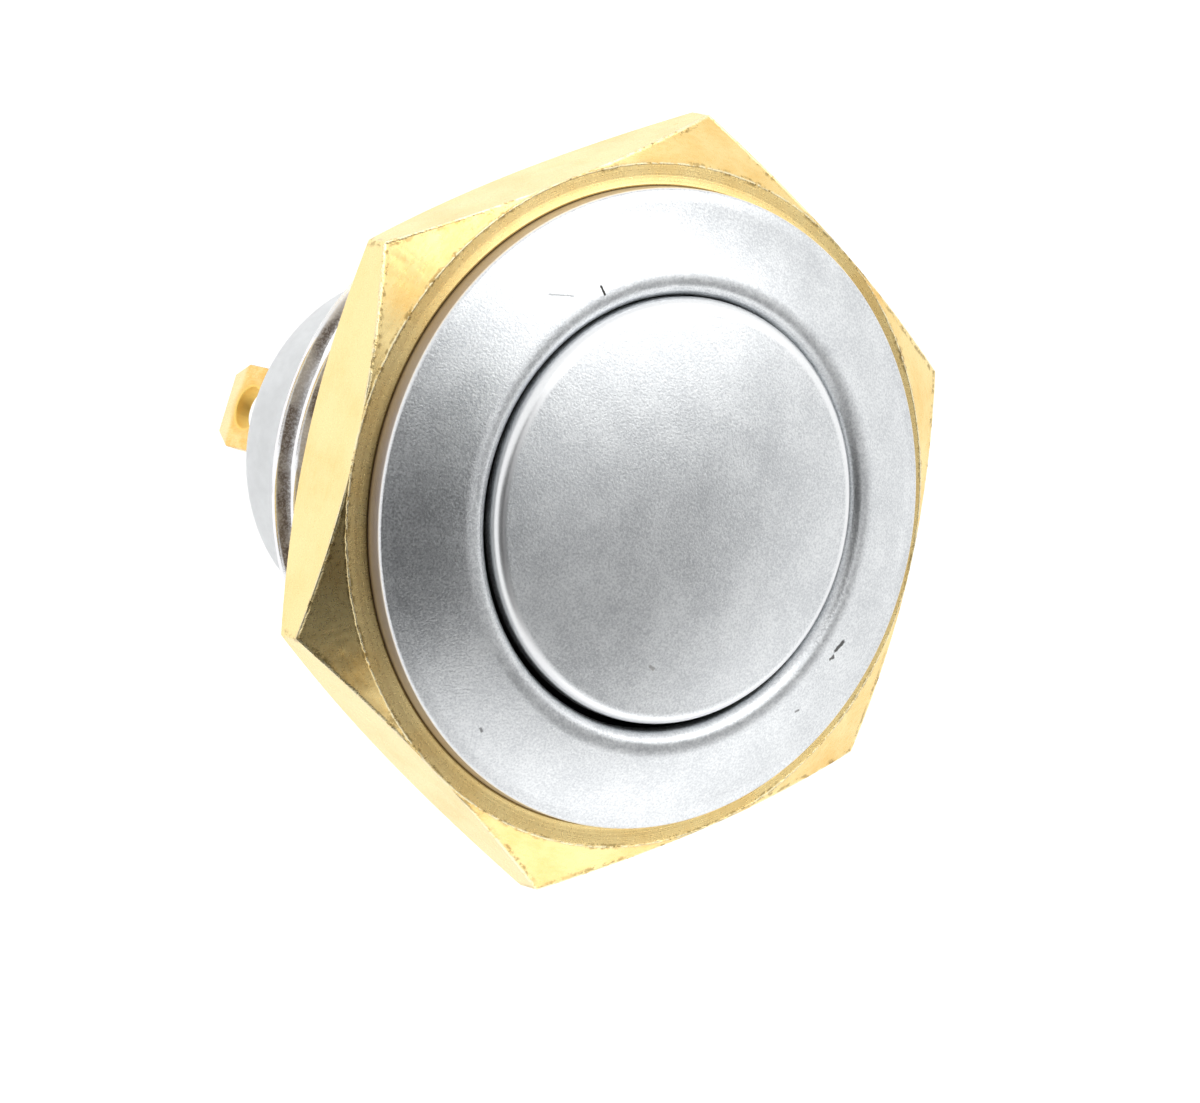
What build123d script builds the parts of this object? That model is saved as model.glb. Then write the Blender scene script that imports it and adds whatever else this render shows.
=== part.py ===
from build123d import *
import os
from math import cos, pi, radians, sin, sqrt, tan

# Metal momentary pushbutton switch for a 16 mm panel hole, in millimetres.
# The origin is the centre of the flange's back face. +Z comes out of the
# front, through the button, and the nut and tabs are on the -Z side.

# Clearances
slide_gap = 0.08       # radial, between a sliding piece and its bore
slip_gap = 0.03        # radial, between a piece and the hole it is dropped in
seat_gap = 0.02        # along Z, between stacked pieces
ring_gap = 0.02        # radial, between a seal and the wall it bears on

# Thread on the barrel, M16 x 1. The other radii follow from it.
thread_r = 8.0
thread_pitch = 1.0
crest_flat_share = 1 / 8   # of the pitch
root_flat_share = 1 / 4
groove_overcut = 0.08  # share of the pitch that the cutter stands outside the thread
thread_relief = 1.0    # from the flange's back to the groove's end

# Bezel and threaded barrel
flange_overhang = 1.0  # radial, from the thread out to the bezel's side
bezel_edge = 0.67      # height of the straight side wall
bezel_edge_round = 0.12
face_rise = 0.99       # from the side wall's top to the lip's crest
face_bulge = 0.07      # how far the cone face swells outwards
lip_round = 0.42
lip_width = 0.62       # flat of the lip, from the well to the cone face
shoulder_depth = 2.0   # under the flange's back: stops the button coming out
barrel_wall = 1.4      # from the thread's crests in to the bore
shoulder_step = 0.52   # radial, from the barrel's bore in to the well
barrel_length = 7.6
barrel_chamfer = 0.6

# Panel seal in the flange's back face
seal_groove_depth = 0.45
seal_width = 0.52
seal_edge_land = 0.22  # between the groove and the flange's edge

# Hexagon nut
nut_wall = 1.63        # from the thread's crests out to the middle of a flat
nut_thickness = 2.5
nut_face_inset = 0.01  # from the flats in to the circle where the chamfers start
nut_chamfer_deg = 30.0
nut_countersink = 0.5
nut_turn_deg = 35.26   # angle of one corner round Z, as photographed
nut_run_gap = 0.03     # radial, over the thread

# Button
press_travel = 1.4
button_proud = 0.24    # the button's edge over the lip's crest
button_edge_round = 0.25
dome_rise = 0.65
well_gap = 0.16
button_roof = 1.2
skirt_wall = 1.3
retainer_height = 0.6
overtravel_gap = 0.15
seal_wire_r = 0.35
seal_side_gap = 0.05

# Plunger
spigot_length = 0.85
head_side_gap = 0.6    # from the plunger's head out to the return spring
plunger_head_t = 0.8
plunger_share = 0.65   # of the head's radius
stem_share = 0.48      # of the plunger's radius
stem_below_clip = 0.58
neck_share = 0.75      # of the stem's radius, where the clip sits
clip_thickness = 0.3
clip_share = 1.4       # of the stem's radius
clip_mouth_share = 1.3     # width of the open side, of the stem's radius

# Springs
return_wire_r = 0.175
return_side_gap = 0.445  # from the spring out to the button's skirt
return_turns = 4.5
contact_wire_r = 0.125
contact_turns = 3.5
contact_spring_length = 2.2

# Guide plate, insulating base and the ring that holds them in
plate_thickness = 0.6
collar_height = 1.5
ring_thickness = 0.5
ring_bite = 0.35       # depth of the ring's groove in the barrel
ring_share = 0.6       # share of the collar's step that the ring reaches under
ring_mouth = 3.0
collar_step = 1.45     # radial, from the barrel's bore in to the rear block
base_proud = 5.45      # length that stands out of the barrel
base_edge_round = 0.5
base_wall = 0.9
base_floor = 2.0
potting_depth = 0.6
potting_inset = 0.7
stem_pit_gap = 0.42    # radial, from the stem out to the pit under it
stem_pit_depth = 0.8

# Contacts and terminals
closing_share = 0.7    # bridge movement for each millimetre of the button
open_margin = 0.02
bridge_end = 0.9       # from a contact's centre to the bridge's end
bridge_width_share = 2.4   # of the stem's radius
bridge_thickness = 0.3
stem_hole_gap = 0.1
contact_inset = 0.4    # from the tab's inner face in to the contact's centre
contact_share = 0.28   # radius, of the contact's distance from the axis
contact_round = 0.1
rivet_share = 0.55     # of the contact's radius
bridge_contact_height = 0.4
fixed_contact_height = 0.5
tab_place_share = 0.544    # of the base's radius, to the middle of the tab
tab_thickness = 0.5
tab_width = 2.5
tab_proud = 4.62       # length that stands out of the base
tab_corner_wide = 0.38
tab_corner_long = 0.6
tab_hole_r = 0.7
tab_hole_inset = 1.2
pad_overlap = 0.6      # pad beyond the contact's centre, towards the middle

# Levels along Z that follow from the sizes above
crest_z = bezel_edge + face_rise
shoulder_z = -shoulder_depth
retainer_top = shoulder_z - seat_gap
skirt_end = retainer_top - retainer_height
plate_top = skirt_end - press_travel - overtravel_gap
plate_bottom = plate_top - plate_thickness
collar_top = plate_bottom
collar_end = collar_top - collar_height
ring_top = collar_end
ring_bottom = ring_top - ring_thickness
base_end = -barrel_length - base_proud
floor_z = base_end + base_floor
tab_end = base_end - tab_proud

# Contact stack, built up from the floor of the base
pad_top = floor_z + tab_thickness
fixed_face = pad_top + fixed_contact_height
contact_opening = closing_share * press_travel + open_margin
bridge_face = fixed_face + contact_opening
bridge_bottom = bridge_face + bridge_contact_height
bridge_top = bridge_bottom + bridge_thickness
stem_top = bridge_top + contact_spring_length
clip_top = bridge_bottom - seat_gap
clip_bottom = clip_top - clip_thickness
stem_end = clip_bottom - stem_below_clip

# Button levels
button_edge_z = crest_z + button_proud
button_ceiling = button_edge_z - button_roof
button_seal_z = shoulder_z + press_travel + seal_wire_r + 2 * seal_side_gap

# Radii and places across Z that follow from the sizes above
bezel_r = thread_r + flange_overhang
barrel_bore_r = thread_r - barrel_wall
well_r = barrel_bore_r - shoulder_step
nut_flat_r = thread_r + nut_wall
nut_face_r = nut_flat_r - nut_face_inset
button_r = well_r - well_gap
skirt_inner_r = button_r - skirt_wall
retainer_r = barrel_bore_r - slide_gap
collar_r = barrel_bore_r - slip_gap
return_coil_r = skirt_inner_r - return_side_gap - return_wire_r
plunger_head_r = return_coil_r - return_wire_r - head_side_gap
plunger_r = plunger_share * plunger_head_r
stem_r = stem_share * plunger_r
neck_r = neck_share * stem_r
clip_r = clip_share * stem_r
contact_coil_r = (stem_r + plunger_r) / 2
base_r = barrel_bore_r - collar_step
chamber_r = base_r - base_wall
tab_x = tab_place_share * base_r
contact_x = tab_x - tab_thickness / 2 - contact_inset
contact_r = contact_share * contact_x
rivet_r = rivet_share * contact_r
pad_inner_x = contact_x - pad_overlap
bridge_length = 2 * (contact_x + bridge_end)
bridge_width = bridge_width_share * stem_r


def corner_arc(before, corner, after, radius):
    """Start, middle and end of the arc that rounds one corner of a profile."""
    corner, before, after = Vector(*corner), Vector(*before), Vector(*after)
    to_before = (before - corner).normalized()
    to_after = (after - corner).normalized()
    half = radians(to_before.get_angle(to_after)) / 2
    reach = radius / tan(half)
    middle = (to_before + to_after).normalized() * (radius / sin(half) - radius)
    return corner + to_before * reach, corner + middle, corner + to_after * reach


def lathe(*corners):
    """Turn a closed profile about Z. Each corner is (r, z) or (r, z, rounding)."""
    points = [(corner[0], 0, corner[1]) for corner in corners]
    edges = []
    first = last = None
    for i, corner in enumerate(corners):
        if len(corner) == 3:
            after = points[(i + 1) % len(points)]
            start, middle, end = corner_arc(points[i - 1], points[i], after, corner[2])
        else:
            start = end = Vector(*points[i])
        if last is not None:
            edges.append(Line(last, start))
        if len(corner) == 3:
            edges.append(ThreePointArc(start, middle, end))
        first = start if first is None else first
        last = end
    edges.append(Line(last, first))
    return revolve(make_face(edges), axis=Axis.Z)


def rod(radius, low, high, x=0.0):
    """Upright cylinder between two levels."""
    return Pos(x, 0, low) * extrude(Circle(radius), high - low)


def block(x_low, x_high, width, low, high):
    """Upright box, centred on Y = 0."""
    plan = Rectangle(x_high - x_low, width)
    return Pos((x_low + x_high) / 2, 0, low) * extrude(plan, high - low)


def o_ring(wall_r, wire_r, level):
    """Round rubber ring that bears on the inside of a bore."""
    ring_r = wall_r - ring_gap - wire_r
    return Pos(0, 0, level) * Torus(ring_r, wire_r)


def o_ring_groove(wall_r, wire_r, level):
    """Tool that cuts the groove for o_ring in the piece inside the bore."""
    floor_r = wall_r - 2 * (wire_r + ring_gap)
    half = wire_r + seal_side_gap
    return lathe(
        (floor_r, level - half),
        (wall_r + 1, level - half),
        (wall_r + 1, level + half),
        (floor_r, level + half),
    )


def coil_spring(coil_r, wire_r, low, high, turns):
    """Compression spring with one closed turn at each end, between two levels."""
    points_per_turn = 12
    total_turns = turns + 2
    first_z = low + wire_r + seat_gap
    last_z = high - wire_r - seat_gap
    closed_rise = 2.1 * wire_r
    active_rise = last_z - first_z - 2 * closed_rise
    count = int(total_turns * points_per_turn)
    points = []
    for i in range(count + 1):
        turn = total_turns * i / count
        rise = closed_rise * min(turn, 1.0)
        rise += active_rise * min(max((turn - 1.0) / turns, 0.0), 1.0)
        rise += closed_rise * max(turn - 1.0 - turns, 0.0)
        angle = 2 * pi * turn
        points.append((coil_r * cos(angle), coil_r * sin(angle), first_z + rise))
    path = Spline(points)
    section = Plane(origin=path @ 0, z_dir=path % 0) * Circle(wire_r)
    return sweep(section, path=path, is_frenet=False)


def make_bezel_body():
    """Bezel, well and threaded barrel, turned in one piece."""
    cone_outer = Vector(bezel_r - bezel_edge_round, 0, bezel_edge)
    cone_inner = Vector(well_r + lip_width, 0, crest_z)
    slope = (cone_inner - cone_outer).normalized()
    outward = Vector(slope.Z, 0, -slope.X)
    swell = (cone_outer + cone_inner) * 0.5 + outward * face_bulge
    edge_low = Vector(bezel_r, 0, bezel_edge - bezel_edge_round)
    edge_mid = Vector(
        bezel_r - bezel_edge_round * (1 - cos(pi / 4)),
        0,
        bezel_edge - bezel_edge_round * (1 - sin(pi / 4)),
    )
    lip_start, lip_mid, lip_end = corner_arc(
        cone_inner, (well_r, 0, crest_z), (well_r, 0, shoulder_z), lip_round
    )
    outline = [
        ThreePointArc(edge_low, edge_mid, cone_outer),
        ThreePointArc(cone_outer, swell, cone_inner),
        Line(cone_inner, lip_start),
        ThreePointArc(lip_start, lip_mid, lip_end),
    ]
    corners = [
        (well_r, shoulder_z),
        (barrel_bore_r, shoulder_z),
        (barrel_bore_r, -barrel_length),
        (thread_r - barrel_chamfer, -barrel_length),
        (thread_r, -barrel_length + barrel_chamfer),
        (thread_r, 0),
        (bezel_r, 0),
    ]
    stops = [lip_end] + [Vector(r, 0, z) for r, z in corners] + [edge_low]
    outline += [Line(a, b) for a, b in zip(stops, stops[1:])]
    body = revolve(make_face(outline), axis=Axis.Z)
    body -= thread_groove()
    body -= panel_seal_ring(0.0, seal_groove_depth)
    groove_r = barrel_bore_r + ring_bite
    body -= rod(groove_r, ring_bottom - seat_gap, ring_top) - rod(
        well_r, ring_bottom - seat_gap, ring_top
    )
    return body


def thread_groove():
    """Helical cutter for the 60 degree thread round the barrel."""
    outside = groove_overcut * thread_pitch
    crest_half = thread_pitch * (1 - crest_flat_share) / 2
    root_half = thread_pitch * root_flat_share / 2
    slope = tan(radians(30))
    depth = (crest_half - root_half) / slope
    outer_half = crest_half + outside * slope
    start = -(barrel_length + thread_pitch)
    path = Helix(thread_pitch, -thread_relief - start, thread_r)
    section = Plane(origin=path @ 0, x_dir=(1, 0, 0), z_dir=path % 0) * Polygon(
        (-depth, -root_half),
        (outside, -outer_half),
        (outside, outer_half),
        (-depth, root_half),
        align=None,
    )
    cutter = sweep(section, path=path, is_frenet=True)
    return Pos(0, 0, start) * cutter


def panel_seal_ring(shrink, height):
    """Flat ring in the flange's back face, shrunk all round for the seal itself."""
    outer = bezel_r - seal_edge_land - shrink
    inner = bezel_r - seal_edge_land - seal_width + shrink
    return rod(outer, shrink, height) - rod(inner, shrink, height)


def make_hex_nut():
    """Hexagon nut with both faces chamfered and the thread's ends countersunk."""
    corner_r = nut_flat_r / cos(pi / 6)
    top = -seat_gap
    bottom = top - nut_thickness
    drop = (corner_r - nut_face_r + 1) * tan(radians(nut_chamfer_deg))
    prism = extrude(RegularPolygon(corner_r, 6, rotation=nut_turn_deg), nut_thickness)
    prism = Pos(0, 0, bottom) * prism
    blank = lathe(
        (0, top),
        (nut_face_r, top),
        (corner_r + 1, top - drop),
        (corner_r + 1, bottom + drop),
        (nut_face_r, bottom),
        (0, bottom),
    )
    hole_r = thread_r + nut_run_gap
    hole = lathe(
        (0, top),
        (hole_r + nut_countersink, top),
        (hole_r, top - nut_countersink),
        (hole_r, bottom + nut_countersink),
        (hole_r + nut_countersink, bottom),
        (0, bottom),
    )
    return (prism & blank) - hole


def make_button_cap():
    """Domed button with a skirt, and a retaining flange under the well's shoulder."""
    edge_r = button_r - button_edge_round
    sphere_r = (edge_r**2 + dome_rise**2) / (2 * dome_rise)
    half_r = edge_r / 2
    half_z = button_edge_z + dome_rise - sphere_r + sqrt(sphere_r**2 - half_r**2)
    round_leg = button_edge_round * (1 - cos(pi / 4))
    top = [
        ThreePointArc(
            (0, 0, button_edge_z + dome_rise),
            (half_r, 0, half_z),
            (edge_r, 0, button_edge_z),
        ),
        ThreePointArc(
            (edge_r, 0, button_edge_z),
            (button_r - round_leg, 0, button_edge_z - round_leg),
            (button_r, 0, button_edge_z - button_edge_round),
        ),
    ]
    corners = [
        (button_r, button_edge_z - button_edge_round),
        (button_r, retainer_top),
        (retainer_r, retainer_top),
        (retainer_r, skirt_end),
        (skirt_inner_r, skirt_end),
        (skirt_inner_r, button_ceiling),
        (0, button_ceiling),
        (0, button_edge_z + dome_rise),
    ]
    stops = [Vector(r, 0, z) for r, z in corners]
    sides = [Line(a, b) for a, b in zip(stops, stops[1:])]
    cap = revolve(make_face(top + sides), axis=Axis.Z)
    cap -= o_ring_groove(well_r, seal_wire_r, button_seal_z)
    hole_top = button_ceiling + spigot_length + seat_gap
    return cap - rod(stem_r + slip_gap, button_ceiling, hole_top)


def make_plunger():
    """Moulded rod: spigot, spring disc, guided body, and the stem for the bridge."""
    head_end = button_ceiling - plunger_head_t
    return lathe(
        (0, button_ceiling + spigot_length),
        (stem_r, button_ceiling + spigot_length, 0.15),
        (stem_r, button_ceiling),
        (plunger_head_r, button_ceiling),
        (plunger_head_r, head_end, 0.2),
        (plunger_r, head_end),
        (plunger_r, stem_top),
        (stem_r, stem_top),
        (stem_r, clip_top),
        (neck_r, clip_top),
        (neck_r, clip_bottom - seat_gap),
        (stem_r, clip_bottom - seat_gap),
        (stem_r, stem_end, 0.2),
        (0, stem_end),
    )


def make_plunger_clip():
    """Flat clip, open on one side, in the stem's neck."""
    mouth = clip_mouth_share * stem_r
    clip = rod(clip_r, clip_bottom, clip_top)
    clip -= rod(neck_r + slip_gap, clip_bottom, clip_top)
    return clip - block(0, clip_r + 1, mouth, clip_bottom, clip_top)


def make_guide_plate():
    """Disc over the base that guides the plunger and carries the return spring."""
    hole_r = plunger_r + slide_gap
    return lathe(
        (hole_r, plate_bottom, 0.1),
        (collar_r, plate_bottom),
        (collar_r, plate_top, 0.12),
        (hole_r, plate_top, 0.1),
    )


def make_insulator_base():
    """Moulded base: a collar in the barrel, the contact chamber, and the rear block."""
    body = lathe(
        (chamber_r, collar_top),
        (collar_r, collar_top),
        (collar_r, collar_end),
        (base_r, collar_end),
        (base_r, base_end, base_edge_round),
        (0, base_end),
        (0, floor_z),
        (chamber_r, floor_z, 0.2),
    )
    body -= o_ring_groove(barrel_bore_r, seal_wire_r, (collar_top + collar_end) / 2)
    body -= rod(stem_r + stem_pit_gap, floor_z - stem_pit_depth, floor_z)
    body -= rod(base_r - potting_inset, base_end, base_end + potting_depth)
    for side in (-1, 1):
        body -= tab_slot(side)
    return body


def tab_slot(side):
    """Slot for one tab through the floor of the base."""
    half = tab_thickness / 2 + slip_gap
    width = tab_width + 2 * slip_gap
    middle = side * tab_x
    return block(middle - half, middle + half, width, base_end, floor_z)


def make_snap_ring():
    """Flat retaining ring, open on one side, that holds the base in the barrel."""
    outer = barrel_bore_r + ring_bite - slip_gap
    inner = barrel_bore_r - ring_share * collar_step
    low = ring_bottom
    high = ring_top
    ring = rod(outer, low, high) - rod(inner, low, high)
    return ring - Rot(0, 0, 90) * block(0, outer + 1, ring_mouth, low, high)


def make_rear_potting():
    """Resin that fills the recess round the tabs."""
    radius = base_r - potting_inset - slip_gap
    resin = rod(radius, base_end, base_end + potting_depth)
    for side in (-1, 1):
        resin -= tab_slot(side)
    return resin


def make_contact_bridge():
    """Moving brass strip with rounded ends, holed for the stem and its contacts."""
    plan = SlotOverall(bridge_length, bridge_width)
    strip = Pos(0, 0, bridge_bottom) * extrude(plan, bridge_thickness)
    strip -= rod(stem_r + stem_hole_gap, bridge_bottom, bridge_top)
    for side in (-1, 1):
        strip -= rod(rivet_r + slip_gap, bridge_bottom, bridge_top, side * contact_x)
    return strip


def make_bridge_contact(side):
    """Silver contact riveted under one end of the bridge."""
    rivet = lathe(
        (0, bridge_face),
        (contact_r, bridge_face, contact_round),
        (contact_r, bridge_bottom),
        (rivet_r, bridge_bottom),
        (rivet_r, bridge_top),
        (0, bridge_top),
    )
    return Pos(side * contact_x, 0, 0) * rivet


def make_fixed_contact(side):
    """Silver contact riveted in one terminal's pad."""
    rivet = lathe(
        (0, fixed_face),
        (contact_r, fixed_face, contact_round),
        (contact_r, pad_top),
        (rivet_r, pad_top),
        (rivet_r, floor_z),
        (0, floor_z),
    )
    return Pos(side * contact_x, 0, 0) * rivet


def make_terminal(side):
    """Bent flat terminal: a pad on the base's floor and a tab out of the back."""
    inner = tab_x - tab_thickness / 2
    outer = tab_x + tab_thickness / 2
    half = tab_width / 2
    outline = Polygon(
        (half, pad_top),
        (-half, pad_top),
        (-half, tab_end + tab_corner_long),
        (-half + tab_corner_wide, tab_end),
        (half - tab_corner_wide, tab_end),
        (half, tab_end + tab_corner_long),
        align=None,
    )
    leg = extrude(Plane.YZ.offset(inner) * outline, outer - inner)
    wire_hole = Rot(0, 90, 0) * Cylinder(tab_hole_r, tab_thickness * 3)
    leg -= Pos(tab_x, 0, tab_end + tab_hole_inset) * wire_hole
    pad = block(pad_inner_x, inner, tab_width, floor_z, pad_top)
    terminal = leg + pad
    terminal -= rod(rivet_r + slip_gap, floor_z, pad_top, contact_x)
    return terminal if side > 0 else Rot(0, 0, 180) * terminal


nodes = {
    "bezel_body": make_bezel_body(),
    "panel_seal": panel_seal_ring(slip_gap, seal_groove_depth),
    "hex_nut": make_hex_nut(),
    "button_cap": make_button_cap(),
    "button_seal": o_ring(well_r, seal_wire_r, button_seal_z),
    "plunger": make_plunger(),
    "plunger_clip": make_plunger_clip(),
    "guide_plate": make_guide_plate(),
    "return_spring": coil_spring(
        return_coil_r, return_wire_r, plate_top, button_ceiling, return_turns
    ),
    "contact_spring": coil_spring(
        contact_coil_r, contact_wire_r, bridge_top, stem_top, contact_turns
    ),
    "contact_bridge": make_contact_bridge(),
    "bridge_contact_left": make_bridge_contact(-1),
    "bridge_contact_right": make_bridge_contact(1),
    "fixed_contact_left": make_fixed_contact(-1),
    "fixed_contact_right": make_fixed_contact(1),
    "terminal_left": make_terminal(-1),
    "terminal_right": make_terminal(1),
    "insulator_base": make_insulator_base(),
    "base_seal": o_ring(barrel_bore_r, seal_wire_r, (collar_top + collar_end) / 2),
    "snap_ring": make_snap_ring(),
    "rear_potting": make_rear_potting(),
}

os.makedirs("parts", exist_ok=True)
for name, shape in nodes.items():
    export_step(shape, f"parts/{name}.step")
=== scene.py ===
import math
import bmesh
import bpy
from mathutils import Matrix, Vector, noise


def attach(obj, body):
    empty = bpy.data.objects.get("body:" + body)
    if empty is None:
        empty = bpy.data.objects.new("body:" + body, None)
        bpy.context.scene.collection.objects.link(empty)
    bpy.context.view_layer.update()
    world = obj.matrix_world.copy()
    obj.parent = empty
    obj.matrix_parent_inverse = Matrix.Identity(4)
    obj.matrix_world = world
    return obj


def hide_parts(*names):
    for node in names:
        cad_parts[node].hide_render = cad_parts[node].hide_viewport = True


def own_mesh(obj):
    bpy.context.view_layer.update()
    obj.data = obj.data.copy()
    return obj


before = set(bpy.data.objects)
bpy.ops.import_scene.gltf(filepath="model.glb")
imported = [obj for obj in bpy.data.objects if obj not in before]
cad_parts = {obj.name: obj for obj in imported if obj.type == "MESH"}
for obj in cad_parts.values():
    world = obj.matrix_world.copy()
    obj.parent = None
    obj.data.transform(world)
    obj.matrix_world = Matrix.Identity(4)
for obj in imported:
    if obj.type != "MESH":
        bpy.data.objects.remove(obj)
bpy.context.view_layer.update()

# Metal pushbutton switch with a brass nut, seen from the front left.
# Sizes in the dictionaries are in millimetres; the scene itself is in metres,
# in the frame of the CAD, where +Z comes out of the button.

mm = 0.001
print("stage: frame loaded")


class Wire:
    # one output socket of a node tree; sums on it add Math nodes
    def __init__(self, tree, socket=None):
        self.tree = tree
        self.socket = socket

    def node(self, kind, settings=None, inputs=None, out=0):
        made = self.tree.nodes.new(kind)
        for key, value in (settings or {}).items():
            setattr(made, key, value)
        for key, value in (inputs or {}).items():
            if isinstance(value, Wire):
                self.tree.links.new(value.socket, made.inputs[key])
            else:
                made.inputs[key].default_value = value
        return Wire(self.tree, made.outputs[out])

    def math(self, operation, *values):
        return self.node("ShaderNodeMath", {"operation": operation}, dict(enumerate(values)))

    def __add__(self, other):
        return self.math("ADD", self, other)

    def __sub__(self, other):
        return self.math("SUBTRACT", self, other)

    def __rsub__(self, other):
        return self.math("SUBTRACT", other, self)

    def __mul__(self, other):
        return self.math("MULTIPLY", self, other)

    def __truediv__(self, other):
        return self.math("DIVIDE", self, other)

    __radd__ = __add__
    __rmul__ = __mul__

    def __abs__(self):
        return self.math("ABSOLUTE", self)

    def atMost(self, other):
        return self.math("MINIMUM", self, other)

    def atLeast(self, other):
        return self.math("MAXIMUM", self, other)

    # 0 below low and 1 above high; swapped limits turn it round
    def step(self, low, high):
        return self.node("ShaderNodeMapRange", {"interpolation_type": "SMOOTHSTEP"},
                         {0: self, 1: low, 2: high, 3: 0.0, 4: 1.0})

    def grain(self, scale, detail=3.0, rough=0.55, stretch=(1, 1, 1)):
        place = self.node("ShaderNodeMapping", None, {"Vector": self, "Scale": stretch})
        return self.node("ShaderNodeTexNoise", None,
                         {"Vector": place, "Scale": scale, "Detail": detail, "Roughness": rough})

    def mix(self, mask, first, second):
        return self.node("ShaderNodeMix", {"data_type": "RGBA"},
                         {0: mask, 6: asColour(first), 7: asColour(second)}, out=2)


def asColour(value):
    return value if isinstance(value, Wire) else (*value, 1)


# An empty material, with its principled shader, and the place on the object in millimetres
def startMaterial(name, metallic):
    material = bpy.data.materials.new(name)
    material.use_nodes = True
    tree = material.node_tree
    shader = tree.nodes["Principled BSDF"]
    shader.inputs["Metallic"].default_value = metallic
    shader.inputs["IOR"].default_value = 1.45
    wire = Wire(tree)
    metres = wire.node("ShaderNodeTexCoord", out="Object")
    place = wire.node("ShaderNodeVectorMath", {"operation": "SCALE"}, {0: metres, "Scale": 1 / mm})
    return material, shader, place


# Joins colour and roughness to the shader, and a relief that is depth millimetres high
def finishMaterial(shader, colour, roughness, height, depth):
    tree = shader.id_data
    wire = Wire(tree)
    tree.links.new(colour.socket, shader.inputs["Base Color"])
    tree.links.new(roughness.socket, shader.inputs["Roughness"])
    bump = wire.node("ShaderNodeBump", None,
                     {"Height": height, "Distance": depth * mm, "Strength": 1.0})
    tree.links.new(bump.socket, shader.inputs["Normal"])


# X, Y, Z and the distance from the axis
def partsOf(place):
    split = [place.node("ShaderNodeSeparateXYZ", None, {0: place}, out=i) for i in range(3)]
    x, y, z = split
    radius = place.math("SQRT", x * x + y * y)
    return x, y, z, radius


# Marks on the front faces: both ends of each, its width, and how dark it is
frontMarks = {
    "scratch": {"from": (-5.95, 4.63), "to": (-5.17, 4.82), "width": 0.07, "dark": 0.40},
    "tick": {"from": (-4.48, 5.32), "to": (-4.32, 5.12), "width": 0.09, "dark": 0.95},
    "dent": {"from": (7.00, -1.85), "to": (6.79, -2.18), "width": 0.16, "dark": 0.85},
    "smallDent": {"from": (6.80, -2.36), "to": (6.72, -2.44), "width": 0.14, "dark": 0.80},
    "speck": {"from": (6.26, -4.08), "to": (6.16, -4.14), "width": 0.10, "dark": 0.60},
    "lowPit": {"from": (-3.70, -7.28), "to": (-3.62, -7.34), "width": 0.09, "dark": 0.55},
    "lipPit": {"from": (-6.44, -3.08), "to": (-6.38, -3.12), "width": 0.08, "dark": 0.50},
}
buttonMarks = {
    "stain": {"from": (0.40, -4.24), "to": (0.52, -4.28), "width": 0.14, "dark": 0.35},
}


# 1 inside a soft-edged dash on the front face, and 0 elsewhere
def dashMask(place, mark):
    x, y, z, radius = partsOf(place)
    first, last = Vector(mark["from"]), Vector(mark["to"])
    middle = (first + last) / 2
    run = last - first
    length = run.length + mark["width"]
    wobble = (place.grain(6.0, 2.0) - 0.5) * mark["width"] * 0.9   # ragged sides
    along = ((x - middle.x) * run.x + (y - middle.y) * run.y) / run.length
    across = ((y - middle.y) * run.x - (x - middle.x) * run.y) / run.length + wobble
    inLength = abs(along).step(length / 2, length * 0.35)
    inWidth = abs(across).step(mark["width"] / 2, mark["width"] / 4)
    return inLength * inWidth * z.step(0.5, 0.7)


# The darkest of several marks at each place
def darkest(place, marks):
    dark = place.grain(1.0, 0.0) * 0.0
    for mark in marks.values():
        dark = dark.atLeast(dashMask(place, mark) * mark["dark"])
    return dark


blastedMetal = {
    "light": (0.86, 0.88, 0.89),
    "shade": (0.60, 0.62, 0.64),
    "mark": (0.03, 0.025, 0.02),
    # painted shade for the deep gap round the button
    "gap": (0.13, 0.135, 0.14),
    "rough": 0.34,
    "grainSize": 0.065,
    "grainDepth": 0.007,
    "coarse": 0.7,         # clouds and painted glints for each millimetre
    "glints": 11.0,
    "roughSpread": 0.16,
}


# Colour, roughness and relief of the bead-blasted and plated faces, with white painted glints
def blastedFace(place):
    look = blastedMetal
    fine = place.grain(1 / look["grainSize"], 2.0, 0.7)
    cloud = place.grain(look["coarse"], 4.0, 0.6)
    # painted glints: white points painted into the colour where the grain peaks
    paintedGlint = place.grain(look["glints"], 1.0).step(0.68, 0.76)
    mottle = (fine * 0.7 + cloud * 0.3).step(0.34, 0.66)
    colour = place.mix(mottle, look["shade"], look["light"])
    colour = place.mix(paintedGlint * 0.5, colour, (1.0, 1.0, 1.0))
    rough = look["rough"] + (fine - 0.5) * look["roughSpread"] + (cloud - 0.5) * 0.10
    return colour, rough, fine


# Where the button's paint begins and ends, in radius or in level
buttonZones = {
    "gapSide": (5.80, 5.86),
    "gapDepth": (1.40, 1.22),
    "rim": (5.62, 5.74),
    "rimTop": (1.50, 1.60),
    "rimHighlight": (0.96, 0.97, 0.98),
    "stain": (0.10, 0.06, 0.03),
}


# Blasted button: a polished rim painted brighter as a painted highlight, and painted shade in the gap
# round it
def makeButtonMetal(name):
    material, shader, place = startMaterial(name, 1.0)
    look = blastedMetal
    zones = buttonZones
    x, y, z, radius = partsOf(place)
    colour, rough, height = blastedFace(place)
    dark = darkest(place, buttonMarks)
    # painted shade: the button's side wall, deep in the gap, is painted dark
    gap = radius.step(*zones["gapSide"]) * z.step(*zones["gapDepth"])
    rim = radius.step(*zones["rim"])
    colour = place.mix(dark, colour, zones["stain"])
    colour = place.mix(gap, colour, look["gap"])
    # painted highlight: the top of the rim is painted near white
    colour = place.mix(rim * z.step(*zones["rimTop"]) * 0.8, colour, zones["rimHighlight"])
    finishMaterial(shader, colour, rough - rim * 0.01, height * (1 - rim), look["grainDepth"])
    return material


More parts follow.
